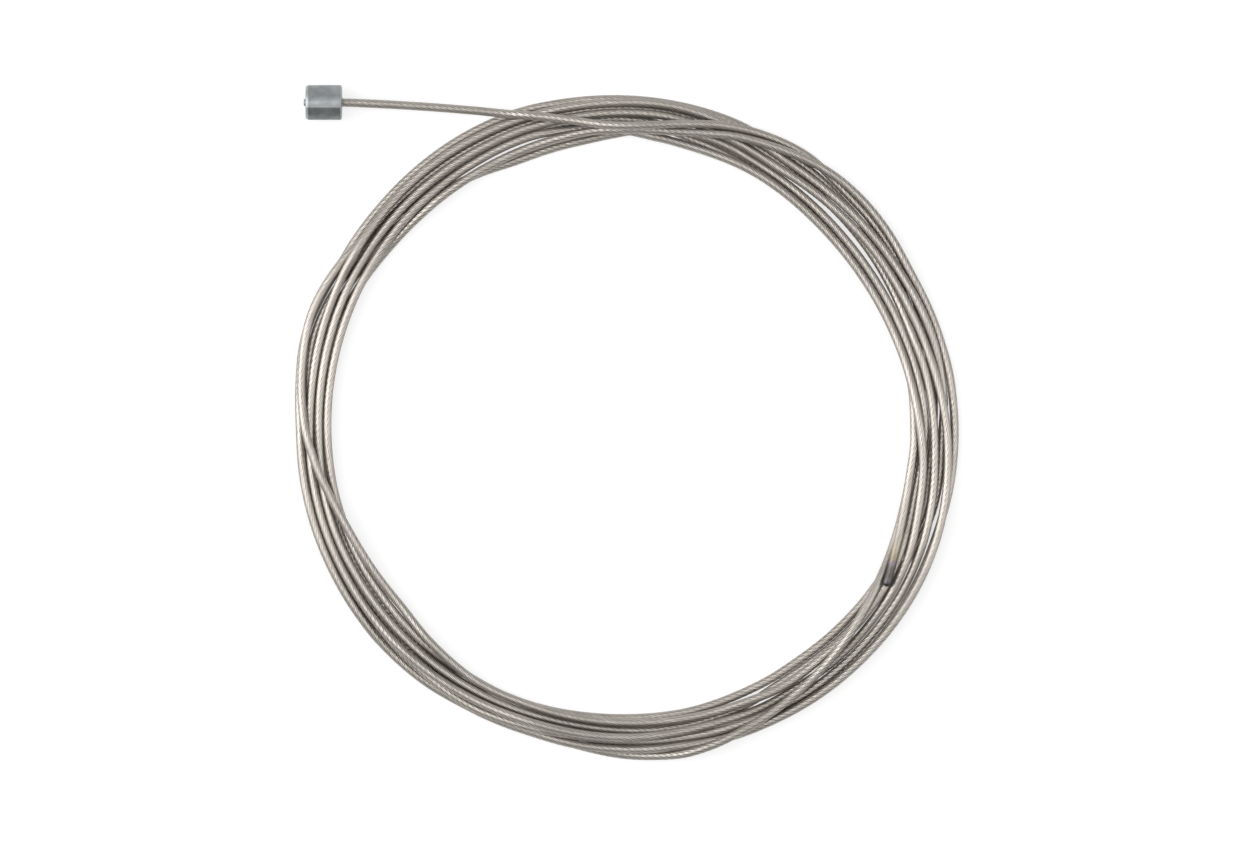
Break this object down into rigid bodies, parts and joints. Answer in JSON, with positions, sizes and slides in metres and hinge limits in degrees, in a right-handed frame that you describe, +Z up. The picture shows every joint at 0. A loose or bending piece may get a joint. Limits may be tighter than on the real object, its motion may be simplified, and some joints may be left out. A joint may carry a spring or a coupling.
{
  "type": "shift cable",
  "caption": "Bicycle shift inner cable: stranded stainless wire with a cast barrel head at one end and a fused bare tip at the other, wound in a flat round coil.",
  "frame": {"origin": "centre of the underside of the object's box, as the coil lies flat on a table", "axes": "+Z up, out of the plane of the coil; +X the way the cable leaves its head; +Y from the middle of the coil towards the head's side"},
  "size_m": [0.085, 0.0866, 0.0045],
  "materials": {
    "cast_zinc": "satin, as cast, cool grey",
    "stranded_stainless": "bright drawn wire, laid up in a strand, warm grey"
  },
  "bodies": {
    "root": {"cable_head": "cast_zinc", "cable_tail": "stranded_stainless", "cable_coil": "stranded_stainless"}
  },
  "joints": []
}
